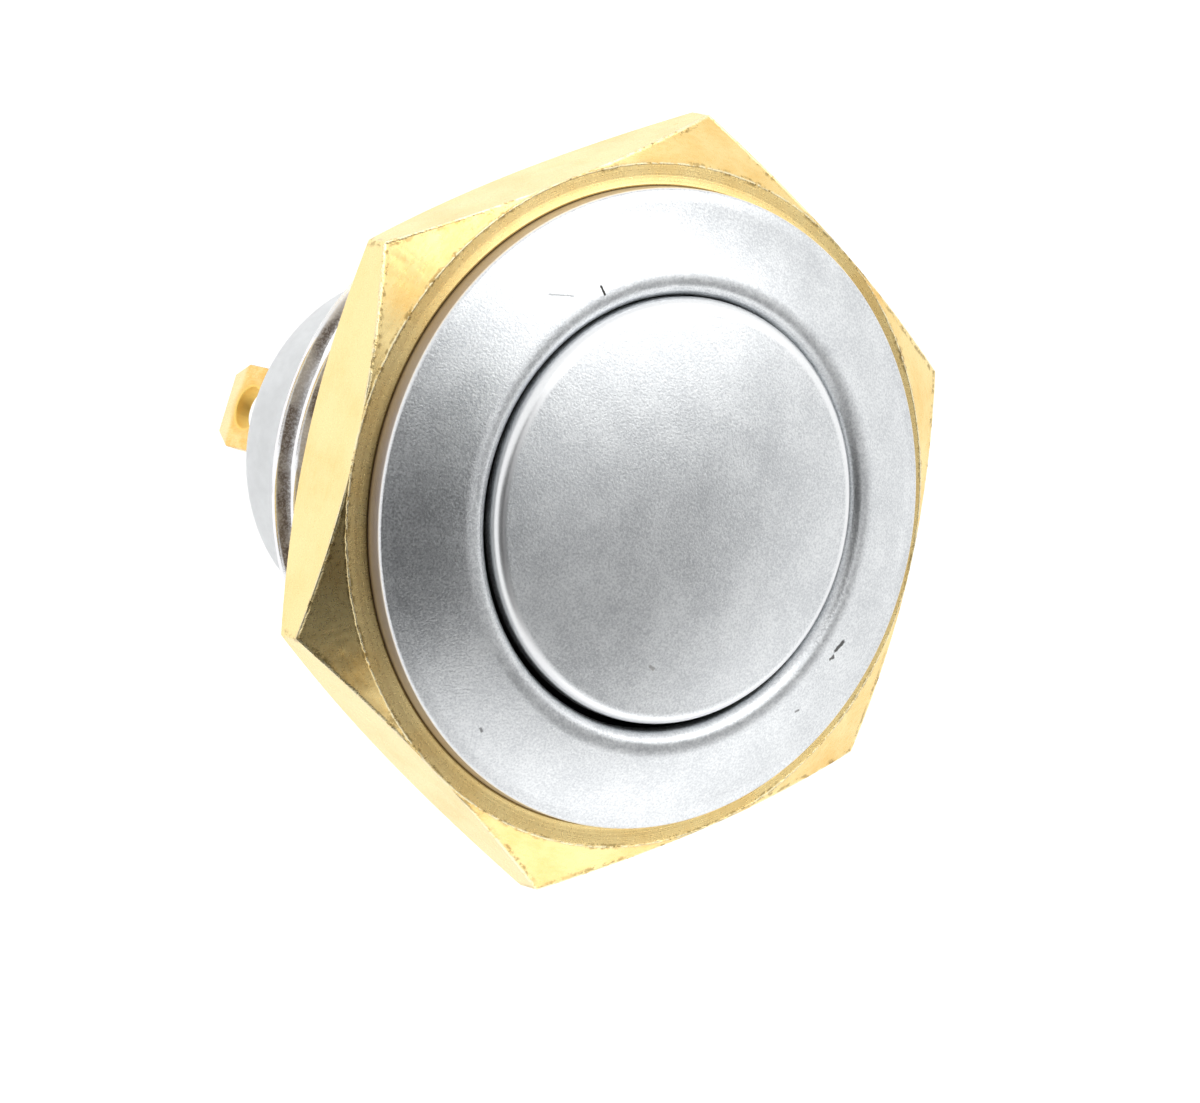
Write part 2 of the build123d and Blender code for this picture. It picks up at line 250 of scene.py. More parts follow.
brassLook = {
    "bright": (1.0, 0.79, 0.37),
    "deep": (0.92, 0.60, 0.20),
    "flat": (1.0, 0.81, 0.40),    # painted light: the six sides are painted paler than the faces
    "ring": (0.94, 0.72, 0.31),
    "stain": (0.20, 0.12, 0.03),
    "burr": (1.0, 0.88, 0.55),
    "contact": (0.30, 0.19, 0.06),
    "rough": 0.28,
    "relief": 0.02,
    "turnedLines": 16.0,   # for each millimetre
    "cornerRadius": 11.10,
    "contactRadius": 9.03,    # the painted shadow line where the bezel stands on the nut
}


# How far out a place lies towards the nearest of the nut's six sides
def reachToSides(place):
    x, y, z, radius = partsOf(place)
    across = None
    for side in range(3):
        turn = math.radians(nut["corner"] + 30 + 60 * side)
        reach = abs(x * math.cos(turn) + y * math.sin(turn))
        across = reach if across is None else across.atLeast(reach)
    return across


# Masks along the nut's front edges: the burrs of the saw and the lathe, and the painted shadow beside
# them
def burrLines(place, across):
    flat = nut["flatRadius"]
    ring = nut["faceRadius"]
    x, y, z, radius = partsOf(place)
    slope = math.tan(math.radians(nut["chamfer"]))
    level = nut["top"] - (radius - ring).atLeast(0.0) * slope
    fromFlat = (flat - across) + (level - z)
    wobble = (place.grain(4.0, 4.0, 0.7) - 0.5) * 0.10
    fromRing = abs(radius - ring + wobble)
    awayFromMiddle = radius.step(ring + 0.04, ring + 0.10)
    onFront = z.step(-0.14, -0.06)
    flatLine = (fromFlat + wobble).step(0.080, 0.02) * awayFromMiddle
    ringLine = fromRing.step(0.040, 0.012) * onFront
    # the painted shadow beside each line
    besideFlat = (fromFlat + wobble * 1.5).step(0.19, 0.12) * awayFromMiddle
    besideRing = fromRing.step(0.11, 0.06) * onFront
    offFlats = across.step(flat - 0.02, flat - 0.05)
    return flatLine.atLeast(ringLine), besideFlat.atLeast(besideRing) * offFlats


# Raw machined brass, with turned rings on its faces and drawn lines along its flats
def makeBrass(name):
    material, shader, place = startMaterial(name, 1.0)
    look = brassLook
    x, y, z, radius = partsOf(place)
    across = reachToSides(place)
    rings = place.node("ShaderNodeTexNoise", {"noise_dimensions": "1D"},
                       {"W": radius * look["turnedLines"], "Detail": 3.0})
    drawn = place.grain(3.0, 3.0, 0.6, (1, 1, 6))
    cloud = place.grain(0.45, 3.0, 0.55)
    fine = place.grain(10.0, 3.0, 0.65)
    spots = place.grain(2.6, 4.0, 0.65).step(0.68, 0.74)
    onFace = radius.step(nut["faceRadius"] + 0.02, nut["faceRadius"] - 0.02)
    onSide = across.step(nut["flatRadius"] - 0.06, nut["flatRadius"] - 0.03)
    tone = (cloud * 0.70 + fine * 0.10 + drawn * 0.2).step(0.30, 0.64)
    colour = place.mix(tone, look["deep"], look["bright"])
    colour = place.mix(onFace * 0.45, colour, look["ring"])
    # painted light: the sides are painted paler, more where the tone is bright
    colour = place.mix(onSide * (0.45 + tone * 0.5), colour, look["flat"])
    colour = place.mix(spots * (1 - onSide * 0.7) * 0.22, colour, look["stain"])
    burr, shadeBesideEdges = burrLines(place, across)
    broken = place.grain(2.2, 4.0, 0.75)
    corner = radius.step(look["cornerRadius"] - 0.10, look["cornerRadius"] - 0.03)
    blotches = place.grain(3.6, 4.0, 0.75).step(0.53, 0.44) * place.grain(0.5, 2.0).step(0.40, 0.56)
    # painted shadow beside the edge lines, and darker near the corners, both in blotches of the stain
    # colour
    colour = place.mix((shadeBesideEdges * 0.6).atLeast(corner * 0.45) * blotches, colour, look["stain"])
    colour = place.mix(burr * broken.step(0.43, 0.50), colour, look["burr"])
    colour = place.mix(burr * broken.step(0.42, 0.36) * 0.7, colour, look["stain"])
    # painted shadow where the bezel stands on the nut
    contact = radius.step(look["contactRadius"] + 0.03, look["contactRadius"]) * z.step(-0.2, -0.1)
    colour = place.mix(contact, colour, look["contact"])
    rough = look["rough"] + (fine - 0.5) * 0.08 + spots * 0.15
    height = rings * onFace * 0.3 + drawn * (1 - onFace) * 0.2 + fine * 0.05 + burr * broken
    finishMaterial(shader, colour, rough, height, look["relief"])
    return material


plateLook = {
    "bright": (0.92, 0.92, 0.93),
    # painted shade for the thread grooves
    "groove": (0.17, 0.14, 0.12),
    # painted shade: the side wall's grey, darker than the plating
    "wall": (0.46, 0.43, 0.46),
    # painted shadow at the foot of the side wall, where it stands on the nut
    "footShadow": (0.22, 0.17, 0.13),
    "rough": 0.20,
}

# Where each kind of the body's paint begins and ends, in radius or in level
bodyZones = {
    "front": (0.60, 0.70),
    "behind": (-0.6, -1.2),
    "belowCrest": (7.97, 7.92),
    "outsideBore": (6.9, 7.1),
    "beforeEnd": (-6.58, -6.48),
    "root": (7.74, 7.58),
    "wallSide": (8.5, 8.7),
    "wallBack": (-0.1, 0.0),
    "wallTop": (0.62, 0.54),
    "footTop": (0.22, 0.02),
    "wellSide": (6.14, 6.09),
    "wellDepth": (1.12, 0.94),
}


# The whole turned body: blasted front, satin side wall and thread, with painted shade in the thread
# grooves, on the side wall and in the deep well, and a painted shadow at the wall's foot
def makeBodyMetal(name):
    material, shader, place = startMaterial(name, 1.0)
    blasted = blastedMetal
    look = plateLook
    zones = bodyZones
    x, y, z, radius = partsOf(place)
    frontColour, frontRough, frontHeight = blastedFace(place)
    front = z.step(*zones["front"])
    behind = z.step(*zones["behind"])
    speckle = place.grain(14.0, 4.0, 0.75)
    deep = radius.step(*zones["belowCrest"]) * behind * radius.step(*zones["outsideBore"])
    deep = deep * z.step(*zones["beforeEnd"])
    towardsRoot = radius.step(*zones["root"])
    crumbs = speckle.step(0.46, 0.58) * (0.25 + towardsRoot * 0.65)
    patchy = place.grain(0.8, 2.0).step(0.40, 0.60)
    # painted shade in the thread grooves, broken by lighter speckles and patches
    grooveShade = deep * (1.0 - crumbs) * (0.60 + patchy * 0.40) * (1 - towardsRoot * 0.40)
    wall = radius.step(*zones["wallSide"]) * z.step(*zones["wallBack"])
    # painted shadow at the foot of the side wall
    footShadow = wall * z.step(*zones["footTop"])
    backColour = place.mix(grooveShade, look["bright"], look["groove"])
    # painted shade: the side wall is painted darker grey
    backColour = place.mix(wall * z.step(*zones["wallTop"]), backColour, look["wall"])
    backColour = place.mix(footShadow, backColour, look["footShadow"])
    colour = place.mix(front, backColour, frontColour)
    # painted shade: the well's wall, deep in the gap round the button, is painted dark
    gap = radius.step(*zones["wellSide"]) * z.step(*zones["wellDepth"])
    colour = place.mix(gap, colour, blasted["gap"])
    dark = darkest(place, frontMarks)
    colour = place.mix(dark, colour, blasted["mark"])
    backRough = look["rough"] + speckle * 0.10 + grooveShade * 0.2 + wall * 0.12
    rough = backRough + (frontRough - backRough) * front + dark * 0.3
    turned = place.node("ShaderNodeTexNoise", {"noise_dimensions": "1D"}, {"W": z * 60.0, "Detail": 2.0})
    height = frontHeight * front + (turned * 0.2 + speckle * (0.3 + deep * 2.0)) * (1 - front)
    finishMaterial(shader, colour, rough, height, blasted["grainDepth"])
    return material


# Smooth moulded plastic or rubber or resin, with faint mottling
def makeMoulded(name, colour, rough, size=0.25, depth=0.004):
    material, shader, place = startMaterial(name, 0.0)
    cloud = place.grain(0.8, 3.0)
    fine = place.grain(1 / size, 3.0)
    tone = (cloud * 0.7 + fine * 0.3).step(0.3, 0.7)
    paler = tuple(min(1.0, part * 1.06) for part in colour)
    darker = tuple(part * 0.93 for part in colour)
    shade = place.mix(tone, darker, paler)
    finishMaterial(shader, shade, rough + (fine - 0.5) * 0.10, fine, depth)
    return material


# Stamped, drawn or plated metal of the small inner parts and the tabs
def makeStamped(name, colour, rough, lines=(1, 1, 6), wear=0.25):
    material, shader, place = startMaterial(name, 1.0)
    drawn = place.grain(4.0, 4.0, 0.6, lines)
    cloud = place.grain(1.6, 3.0)
    worn = cloud.step(0.45, 0.75) * wear
    darker = tuple(part * 0.72 for part in colour)
    shade = place.mix(worn + drawn * 0.15, colour, darker)
    finishMaterial(shader, shade, rough + (drawn - 0.5) * 0.14, drawn, 0.008)
    return material


goldLook = {
    "bright": (1.0, 0.72, 0.29),
    "deep": (0.86, 0.52, 0.13),
    "coined": (1.0, 0.86, 0.52),
    "holeWall": (1.0, 0.74, 0.22),
    "rough": 0.27,
}


# Gold-plated tab: a paler coined tip, deeper round the hole and orange on its wall
def makeTabGold(name):
    material, shader, place = startMaterial(name, 1.0)
    look = goldLook
    x, y, z, radius = partsOf(place)
    drawn = place.grain(5.0, 4.0, 0.6, (1, 3, 1))
    cloud = place.grain(1.8, 3.0)
    up = z - (tab["end"] + tab["holeUp"])
    fromHole = place.math("SQRT", y * y + up * up)
    inHole = fromHole.step(tab["hole"] + 0.12, tab["hole"] + 0.02)
    roundHole = fromHole.step(tab["hole"] + 0.34, tab["hole"] + 0.10)
    tip = (z + (cloud - 0.5) * 0.3).step(tab["end"] + 0.66, tab["end"] + 0.40)
    colour = place.mix((cloud * 0.6 + drawn * 0.4).step(0.35, 0.65), look["deep"], look["bright"])
    colour = place.mix(tip * 0.7, colour, look["coined"])
    colour = place.mix(roundHole * 0.5, colour, look["deep"])
    colour = place.mix(inHole * 0.85, colour, look["holeWall"])
    rough = look["rough"] + (drawn - 0.5) * 0.16 + inHole * 0.35
    finishMaterial(shader, colour, rough, drawn, 0.010)
    return material


# Points of a closed turned outline; a third number rounds that corner
def roundedOutline(corners, arcSteps=8):
    points = []
    for i, corner in enumerate(corners):
        here = Vector(corner[:2])
        if len(corner) == 2:
            points.append(here)
            continue
        toLast = (Vector(corners[i - 1][:2]) - here).normalized()
        toNext = (Vector(corners[(i + 1) % len(corners)][:2]) - here).normalized()
        half = toLast.angle(toNext) / 2
        middle = here + (toLast + toNext).normalized() * (corner[2] / math.sin(half))
        start = here + toLast * (corner[2] / math.tan(half)) - middle
        end = here + toNext * (corner[2] / math.tan(half)) - middle
        first = math.atan2(start.y, start.x)
        swing = (math.atan2(end.y, end.x) - first + math.pi) % (2 * math.pi) - math.pi
        for k in range(arcSteps + 1):
            turn = first + swing * k / arcSteps
            points.append(middle + Vector((math.cos(turn), math.sin(turn))) * corner[2])
    return points


# A closed ring of quads round Z: rowsAt gives the outline's points at each angle
def ringMesh(name, angles, rowsAt, material, sharpDegrees=35):
    grid = [rowsAt(angle) for angle in angles]
    count = len(grid[0])
    points = []
    for angle, rows in zip(angles, grid):
        points += [(r * mm * math.cos(angle), r * mm * math.sin(angle), z * mm) for r, z in rows]
    faces = []
    for i in range(len(angles)):
        here, there = i * count, ((i + 1) % len(angles)) * count
        for j in range(count):
            k = (j + 1) % count
            faces.append((here + j, there + j, there + k, here + k))
    return finishMesh(name, points, faces, material, sharpDegrees)


# A piece of those faces, shaded smooth but for edges sharper than that
def finishMesh(name, points, faces, material, sharpDegrees):
    mesh = bpy.data.meshes.new(name)
    mesh.from_pydata(points, [], faces)
    cleaned = bmesh.new()
    cleaned.from_mesh(mesh)
    bmesh.ops.remove_doubles(cleaned, verts=cleaned.verts, dist=0.0005 * mm)
    bmesh.ops.dissolve_degenerate(cleaned, edges=cleaned.edges, dist=0.0002 * mm)
    bmesh.ops.recalc_face_normals(cleaned, faces=cleaned.faces)
    cleaned.to_mesh(mesh)
    cleaned.free()
    mesh.shade_smooth()
    mesh.set_sharp_from_angle(angle=math.radians(sharpDegrees))
    piece = bpy.data.objects.new(name, mesh)
    bpy.context.scene.collection.objects.link(piece)
    mesh.materials.append(material)
    return piece


def evenAngles(count):
    return [2 * math.pi * i / count for i in range(count)]


# Lets a piece ride on a body, in the place of CAD nodes, which it hides
def mountOn(piece, body, slotName, *nodes):
    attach(piece, body)
    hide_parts(*nodes)


bezel = {
    "radius": 9.0,
    "edge": 0.67,          # top of the straight side wall
    "edgeRound": 0.12,
    "crest": 1.66,
    "faceFall": 0.38,      # of the face in its last millimetre
    "bulge": 0.07,
    "well": 6.08,
    "lipWidth": 0.62,
    "lipRound": 0.42,
    "shoulder": -2.0,
    "bore": 6.6,
    "ringTop": -6.27,      # groove of the retaining ring
    "ringBottom": -6.79,
    "ringBite": 0.35,
    "barrel": 8.0,
    "barrelEnd": -7.6,
    "barrelChamfer": 0.95,
    "pitch": 1.0,
    "threadDepth": 0.54,
    "flankAngle": 30,
    "rootSoftness": 1.35,
    "crestAt": -0.10,      # level of a thread crest at +X
    "crestHalf": 0.10,     # half the width of its flat top
    "threadStart": -0.55,
    "threadFade": 0.7,
    "columns": 288,
    "rowsPerTurn": 14,
}


# How far the thread is cut in at one angle and level
def threadCut(angle, z):
    b = bezel
    turns = (z - b["crestAt"]) / b["pitch"] - angle / (2 * math.pi)
    away = abs(turns - round(turns)) * b["pitch"]
    flank = max(0.0, away - b["crestHalf"]) / math.tan(math.radians(b["flankAngle"]))
    soft = b["rootSoftness"]
    cut = b["threadDepth"] * math.tanh(flank / b["threadDepth"] * soft) / math.tanh(soft)
    fade = min(1.0, max(0.0, (b["threadStart"] - z) / b["threadFade"]))
    return min(cut, b["threadDepth"]) * fade


# The slightly swollen cone from the lip to the side wall
def bezelFace():
    b = bezel
    outer = Vector((b["radius"] - b["edgeRound"], b["edge"]))
    inner = Vector((b["well"] + b["lipWidth"], b["crest"]))
    along = outer - inner
    outward = Vector((-along.y, along.x)).normalized()
    rows = []
    steps = 14
    for k in range(steps + 1):
        share = k / steps
        rows.append(inner.lerp(outer, share) + outward * b["bulge"] * 4 * share * (1 - share))
    return rows


def makeBezel():
    b = bezel
    lip = roundedOutline([
        (b["well"], b["shoulder"]),
        (b["well"], b["crest"], b["lipRound"]),
        (b["well"] + b["lipWidth"], b["crest"]),
    ], 10)
    wall = roundedOutline([
        (b["radius"] - 1.0, b["edge"] + b["faceFall"]),
        (b["radius"], b["edge"], b["edgeRound"]),
        (b["radius"], 0.0),
    ], 6)[1:-1]
    rowCount = int(-b["barrelEnd"] / b["pitch"] * b["rowsPerTurn"])
    levels = [b["barrelEnd"] * i / rowCount for i in range(rowCount + 1)]
    inside = [
        (b["barrel"] - b["barrelChamfer"], b["barrelEnd"]),
        (b["bore"], b["barrelEnd"]),
        (b["bore"], b["ringBottom"]),
        (b["bore"] + b["ringBite"], b["ringBottom"]),
        (b["bore"] + b["ringBite"], b["ringTop"]),
        (b["bore"], b["ringTop"]),
        (b["bore"], b["shoulder"]),
    ]
    front = [tuple(p) for p in lip] + [tuple(p) for p in bezelFace()[1:-1]]
    front += [tuple(p) for p in wall] + [(b["radius"], 0.0)]

    def rowsAt(angle):
        rows = list(front)
        for z in levels:
            full = b["barrel"] - threadCut(angle, z)
            chamfer = b["barrel"] - b["barrelChamfer"] + (z - b["barrelEnd"])
            rows.append((min(full, chamfer), z))
        return rows + inside

    body = ringMesh("bezelBody", evenAngles(b["columns"]), rowsAt, looks["bodyMetal"])
    mountOn(body, "housing", "bezel_metal", "bezel_body")


button = {
    "radius": 5.98,
    "edge": 1.90,
    "edgeRound": 0.35,
    "dome": 0.65,
    "ceiling": 0.70,
    "skirtInner": 4.62,
    "retainer": 6.49,
    "retainerTop": -2.02,
    "skirtEnd": -2.62,
    "sealLevel": -0.15,
    "sealRadius": 5.25,
    "sealHalf": 0.40,
    "spigotHole": 1.12,
    "spigotTop": 1.57,
    "aside": (-0.03, 0.08),   # how far it hangs off centre in its well
    "columns": 256,
}


def makeButton():
    b = button
    edgeRadius = b["radius"] - b["edgeRound"]
    sphere = (edgeRadius ** 2 + b["dome"] ** 2) / (2 * b["dome"])
    top = b["edge"] + b["dome"]
    rows = []
    domeSteps = 22
    edgeSteps = 8
    for k in range(domeSteps + 1):
        r = edgeRadius * k / domeSteps
        rows.append((r, top - sphere + math.sqrt(sphere ** 2 - r ** 2)))
    lean = math.atan2(edgeRadius, sphere - b["dome"])
    for k in range(1, edgeSteps + 1):
        turn = math.pi / 2 - lean - (math.pi / 2 - lean) * k / edgeSteps
        rows.append((edgeRadius + b["edgeRound"] * math.cos(turn),
                     b["edge"] - b["edgeRound"] * (1 - math.sin(turn))))
    low, high = b["sealLevel"] - b["sealHalf"], b["sealLevel"] + b["sealHalf"]
    rows += [
        (b["radius"], high), (b["sealRadius"], high), (b["sealRadius"], low), (b["radius"], low),
        (b["radius"], b["retainerTop"]), (b["retainer"], b["retainerTop"]),
        (b["retainer"], b["skirtEnd"]), (b["skirtInner"], b["skirtEnd"]),
        (b["skirtInner"], b["ceiling"]), (b["spigotHole"], b["ceiling"]),
        (b["spigotHole"], b["spigotTop"]), (0.0, b["spigotTop"]),
    ]
    cap = ringMesh("buttonCap", evenAngles(b["columns"]), lambda angle: rows, looks["buttonMetal"])
    cap.data.transform(Matrix.Translation(Vector((*b["aside"], 0)) * mm))
    mountOn(cap, "button", "button_metal", "button_cap")


nut = {
    "flatRadius": 9.63,
    "top": -0.02,
    "thickness": 2.5,
    "faceRadius": 9.62,
    "chamfer": 30,
    "hole": 8.03,
    "countersink": 0.5,
    "corner": 35.26,
    "bossInner": 9.012,     # raised ring on the front face, round the bezel's foot
    "bossOuter": 9.28,
    "bossHeight": 0.07,
    "bossFoot": 0.02,
    "cornerSoft": 0.05,
    "nickDepth": 0.105,
    "nickReach": 0.06,      # down the side from its front edge
    "nickFrom": 0.32,       # more of this gives fewer nicks
    "waviness": 0.02,
    "columnsPerSide": 56,
    "cornerCrowding": 0.85,
}


# Distance from the axis to the nut's flats at one angle, with slightly blunt corners
def hexRadius(angle):
    n = nut
    sector = math.radians(60)
    fromCorner = (angle - math.radians(n["corner"])) % sector
    first = n["flatRadius"] / math.cos(fromCorner - sector / 2)
    second = n["flatRadius"] / math.cos(fromCorner + sector / 2)
    third = n["flatRadius"] / math.cos(fromCorner - sector * 1.5)
    soft = n["cornerSoft"]
    reach = first
    for other in (second, third):
        gap = max(soft - abs(reach - other), 0.0) / soft
        reach = min(reach, other) - gap * gap * soft / 4
    return reach


def makeNut():
    n = nut
    slope = math.tan(math.radians(n["chamfer"]))
    bottom = n["top"] - n["thickness"]
    chamferSteps = 8
    sideSteps = 14

    # uneven metal, the same at the same place in every run
    def rough(angle, r, z, amount, scale):
        spot = Vector((r * math.cos(angle), r * math.sin(angle), z)) * scale
        return noise.fractal(spot, 0.6, 2.2, 4) * amount

    def rowsAt(angle):
        reach = hexRadius(angle)
        drop = (reach - n["faceRadius"]) * slope
        rows = [
            (n["hole"], bottom + n["countersink"]),
            (n["hole"], n["top"] - n["countersink"]),
            (n["hole"] + n["countersink"], n["top"]),
            (n["bossInner"], n["top"]),
            (n["bossInner"], n["top"] + n["bossHeight"]),
            (n["bossOuter"], n["top"]),
            (n["bossOuter"] + n["bossFoot"], n["top"]),
        ]
        for k in range(chamferSteps + 1):
            share = k / chamferSteps
            r = n["faceRadius"] + (reach - n["faceRadius"]) * share
            dip = abs(rough(angle, r, 0, n["waviness"], 0.9)) * math.sin(math.pi * share)
            rows.append((r, n["top"] - drop * share - dip))
        for k in range(1, sideSteps):
            share = k / sideSteps
            z = n["top"] - drop + (bottom - n["top"] + 2 * drop) * share
            near = math.exp(-((share * (n["thickness"] - 2 * drop)) / n["nickReach"]) ** 2)
            sink = abs(rough(angle, reach, z, n["waviness"], 0.8))
            nick = max(0.0, rough(angle, reach, 0, 1.0, 2.6) - n["nickFrom"]) * n["nickDepth"]
            rows.append((reach - sink - nick * near, z))
        for k in range(chamferSteps + 1):
            share = 1 - k / chamferSteps
            r = n["faceRadius"] + (reach - n["faceRadius"]) * share
            rows.append((r, bottom + drop * share))
        return rows + [(n["hole"] + n["countersink"], bottom)]

    sector = math.radians(60)
    angles = []
    for side in range(6):
        for k in range(n["columnsPerSide"]):
            share = k / n["columnsPerSide"]
            eased = share - math.sin(2 * math.pi * share) / (2 * math.pi) * n["cornerCrowding"]
            angles.append(math.radians(n["corner"]) + sector * (side + eased))
    piece = ringMesh("hexNut", angles, rowsAt, looks["nutBrass"], 22)
    mountOn(piece, "nut", "nut_brass", "hex_nut")


base = {
    "radius": 5.15,
    "end": -13.05,
    "endRound": 0.5,
    "collar": 6.57,
    "collarTop": -4.77,
    "collarEnd": -6.27,
    "groove": 5.86,
    "grooveHalf": 0.40,
    "chamber": 4.25,
    "floor": -11.05,
    "floorRound": 0.2,
    "pit": 1.426,           # room for the stem's end
    "pitDepth": 0.8,
    "potting": 4.45,
    "pottingDepth": 0.6,
    "pottingRound": 0.06,
    "columns": 192,
}

tab = {
    "x": 2.8016,
    "thickness": 0.5,
    "width": 2.5,
    "end": -17.52,
    "padTop": -10.55,
    "padInner": 1.5516,
    "padOverlap": 0.01,
    "cornerWide": 0.38,
    "cornerLong": 0.6,
    "hole": 0.62,
    "holeUp": 1.2,
    "edge": 0.045,
    "slotGap": 0.03,
}


def makeBase():
    b = base
    middle = (b["collarTop"] + b["collarEnd"]) / 2
    rows = roundedOutline([
        (b["chamber"], b["collarTop"]),
        (b["collar"], b["collarTop"]),
        (b["collar"], middle + b["grooveHalf"]),
        (b["groove"], middle + b["grooveHalf"]),
        (b["groove"], middle - b["grooveHalf"]),
        (b["collar"], middle - b["grooveHalf"]),
        (b["collar"], b["collarEnd"]),
        (b["radius"], b["collarEnd"]),
        (b["radius"], b["end"], b["endRound"]),
        (b["potting"], b["end"], b["pottingRound"]),
        (b["potting"], b["end"] + b["pottingDepth"]),
        (0.0, b["end"] + b["pottingDepth"]),
        (0.0, b["floor"] - b["pitDepth"]),
        (b["pit"], b["floor"] - b["pitDepth"]),
        (b["pit"], b["floor"]),
        (b["chamber"], b["floor"], b["floorRound"]),
    ], 8)
    rows = [tuple(p) for p in rows]
    angles = evenAngles(b["columns"])
    piece = ringMesh("insulatorBase", angles, lambda angle: rows, looks["basePlastic"])
    for side in (-1, 1):
        cutSlot(piece, side)
    mountOn(piece, "housing", "base_plastic", "insulator_base")


# Cuts the slot that one tab passes through
def cutSlot(piece, side):
    t = tab
    half = t["thickness"] / 2 + t["slotGap"]
    wide = t["width"] / 2 + t["slotGap"]
    middle = side * t["x"]
    low = base["end"] - 1
    high = base["floor"] + 0.1
    cutter = slab("slotCutter", middle - half, middle + half, wide, low, high)
    cut = piece.modifiers.new("slot", "BOOLEAN")
    cut.operation = "DIFFERENCE"
    cut.solver = "EXACT"
    cut.object = cutter
    shaped = bpy.data.meshes.new_from_object(piece.evaluated_get(bpy.context.evaluated_depsgraph_get()))
    piece.modifiers.clear()
    piece.data = shaped
    shaped.set_sharp_from_angle(angle=math.radians(35))
    bpy.data.objects.remove(cutter)


# A plain block, for cutting a slot or as a tab's flat inner pad
def slab(name, xLow, xHigh, halfWidth, zLow, zHigh):
    corners = [(x * mm, y * mm, z * mm) for x in (xLow, xHigh)
               for y in (-halfWidth, halfWidth) for z in (zLow, zHigh)]
    faces = [(0, 1, 3, 2), (4, 6, 7, 5), (0, 4, 5, 1), (2, 3, 7, 6), (0, 2, 6, 4), (1, 5, 7, 3)]
    mesh = bpy.data.meshes.new(name)
    mesh.from_pydata(corners, [], faces)
    made = bpy.data.objects.new(name, mesh)
    bpy.context.scene.collection.objects.link(made)
    return made


# One bent terminal: a flat tab with clipped corners and a wire hole, and its inner pad
def makeTab(side):
    t = tab
    half = t["width"] / 2
    shoulder = t["end"] + t["cornerLong"]
    tip = half - t["cornerWide"]
    outline = [(-half, t["padTop"]), (-half, shoulder), (-tip, t["end"]),
               (tip, t["end"]), (half, shoulder), (half, t["padTop"])]
    middle = t["end"] + t["holeUp"]
    holeSteps = 40
    ring = [(t["hole"] * math.cos(a), middle + t["hole"] * math.sin(a)) for a in evenAngles(holeSteps)]
    flat = bpy.data.curves.new("tabOutline", "CURVE")
    flat.dimensions = "2D"
    flat.fill_mode = "BOTH"
    flat.extrude = (t["thickness"] / 2 - t["edge"]) * mm
    flat.bevel_depth = t["edge"] * mm
    flat.bevel_resolution = 2
    flat.offset = -t["edge"] * mm
    for loop in (outline, ring):
        line = flat.splines.new("POLY")
        line.points.add(len(loop) - 1)
        for point, (y, z) in zip(line.points, loop):
            point.co = (y * mm, z * mm, 0, 1)
        line.use_cyclic_u = True
    source = bpy.data.objects.new("tabOutline", flat)
    bpy.context.scene.collection.objects.link(source)
    mesh = bpy.data.meshes.new_from_object(source.evaluated_get(bpy.context.evaluated_depsgraph_get()))
    bpy.data.objects.remove(source)
    # the outline's own X and Y become the part's Y and Z
    mesh.transform(Matrix(((0, 0, 1, side * t["x"] * mm), (1, 0, 0, 0), (0, 1, 0, 0), (0, 0, 0, 1))))
    points = [tuple(v.co) for v in mesh.vertices]
    faces = [tuple(p.vertices) for p in mesh.polygons]
    padOuter = t["x"] - t["thickness"] / 2 + t["padOverlap"]
    xLow, xHigh = sorted((side * t["padInner"], side * padOuter))
    pad = slab("pad", xLow, xHigh, half, base["floor"], t["padTop"])
    start = len(points)
    points += [tuple(v.co) for v in pad.data.vertices]
    faces += [tuple(start + i for i in p.vertices) for p in pad.data.polygons]
    bpy.data.objects.remove(pad)
    sideName = "Left" if side < 0 else "Right"
    piece = finishMesh("tab" + sideName, points, faces, looks["tabGold"], 30)
    mountOn(piece, "housing", "tab_gold", "terminal_" + sideName.lower())


springs = {
    "returnSpring": {
        "node": "return_spring", "body": "housing", "coil": 4.0, "wire": 0.175,
        "low": -4.17, "high": 0.70, "turns": 4.5, "pressedBy": 1.4,
    },
    "contactSpring": {
        "node": "contact_spring", "body": "bridge", "coil": 1.551, "wire": 0.125,
        "low": -8.35, "high": -6.15, "turns": 3.5, "pressedBy": 0.42,
    },
}


# Coil spring with one closed turn at each end, ground flat
def makeSpring(name):
    s = springs[name]
    clear = 0.02              # from the seats at both ends
    groundShare = 0.6         # of the wire's radius that the grinding leaves at the ends
    stepsPerTurn = 28
    sides = 12
    first = s["low"] + s["wire"] * groundShare + clear
    last = s["high"] - s["wire"] * groundShare - clear
    closedRise = 2.1 * s["wire"]
    openRise = last - first - 2 * closedRise
    count = int((s["turns"] + 2) * stepsPerTurn)
    points = []
    for i in range(count + 1):
        turn = i / stepsPerTurn
        rise = closedRise * (min(turn, 1.0) + max(turn - 1.0 - s["turns"], 0.0))
        rise += openRise * min(max((turn - 1.0) / s["turns"], 0.0), 1.0)
        angle = 2 * math.pi * turn
        for around in evenAngles(sides):
            r = s["coil"] + s["wire"] * math.cos(around)
            z = first + rise + s["wire"] * math.sin(around)
            z = min(max(z, s["low"] + clear), s["high"] - clear)
            points.append((r * mm * math.cos(angle), r * mm * math.sin(angle), z * mm))
    faces = [tuple(range(sides)), tuple(count * sides + i for i in range(sides))]
    for i in range(count):
        for k in range(sides):
            here, beside = i * sides + k, i * sides + (k + 1) % sides
            faces.append((here, beside, beside + sides, here + sides))
    piece = finishMesh(name, points, faces, looks["spring"], 50)
    mountOn(piece, s["body"], "spring_steel", s["node"])
    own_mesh(piece)


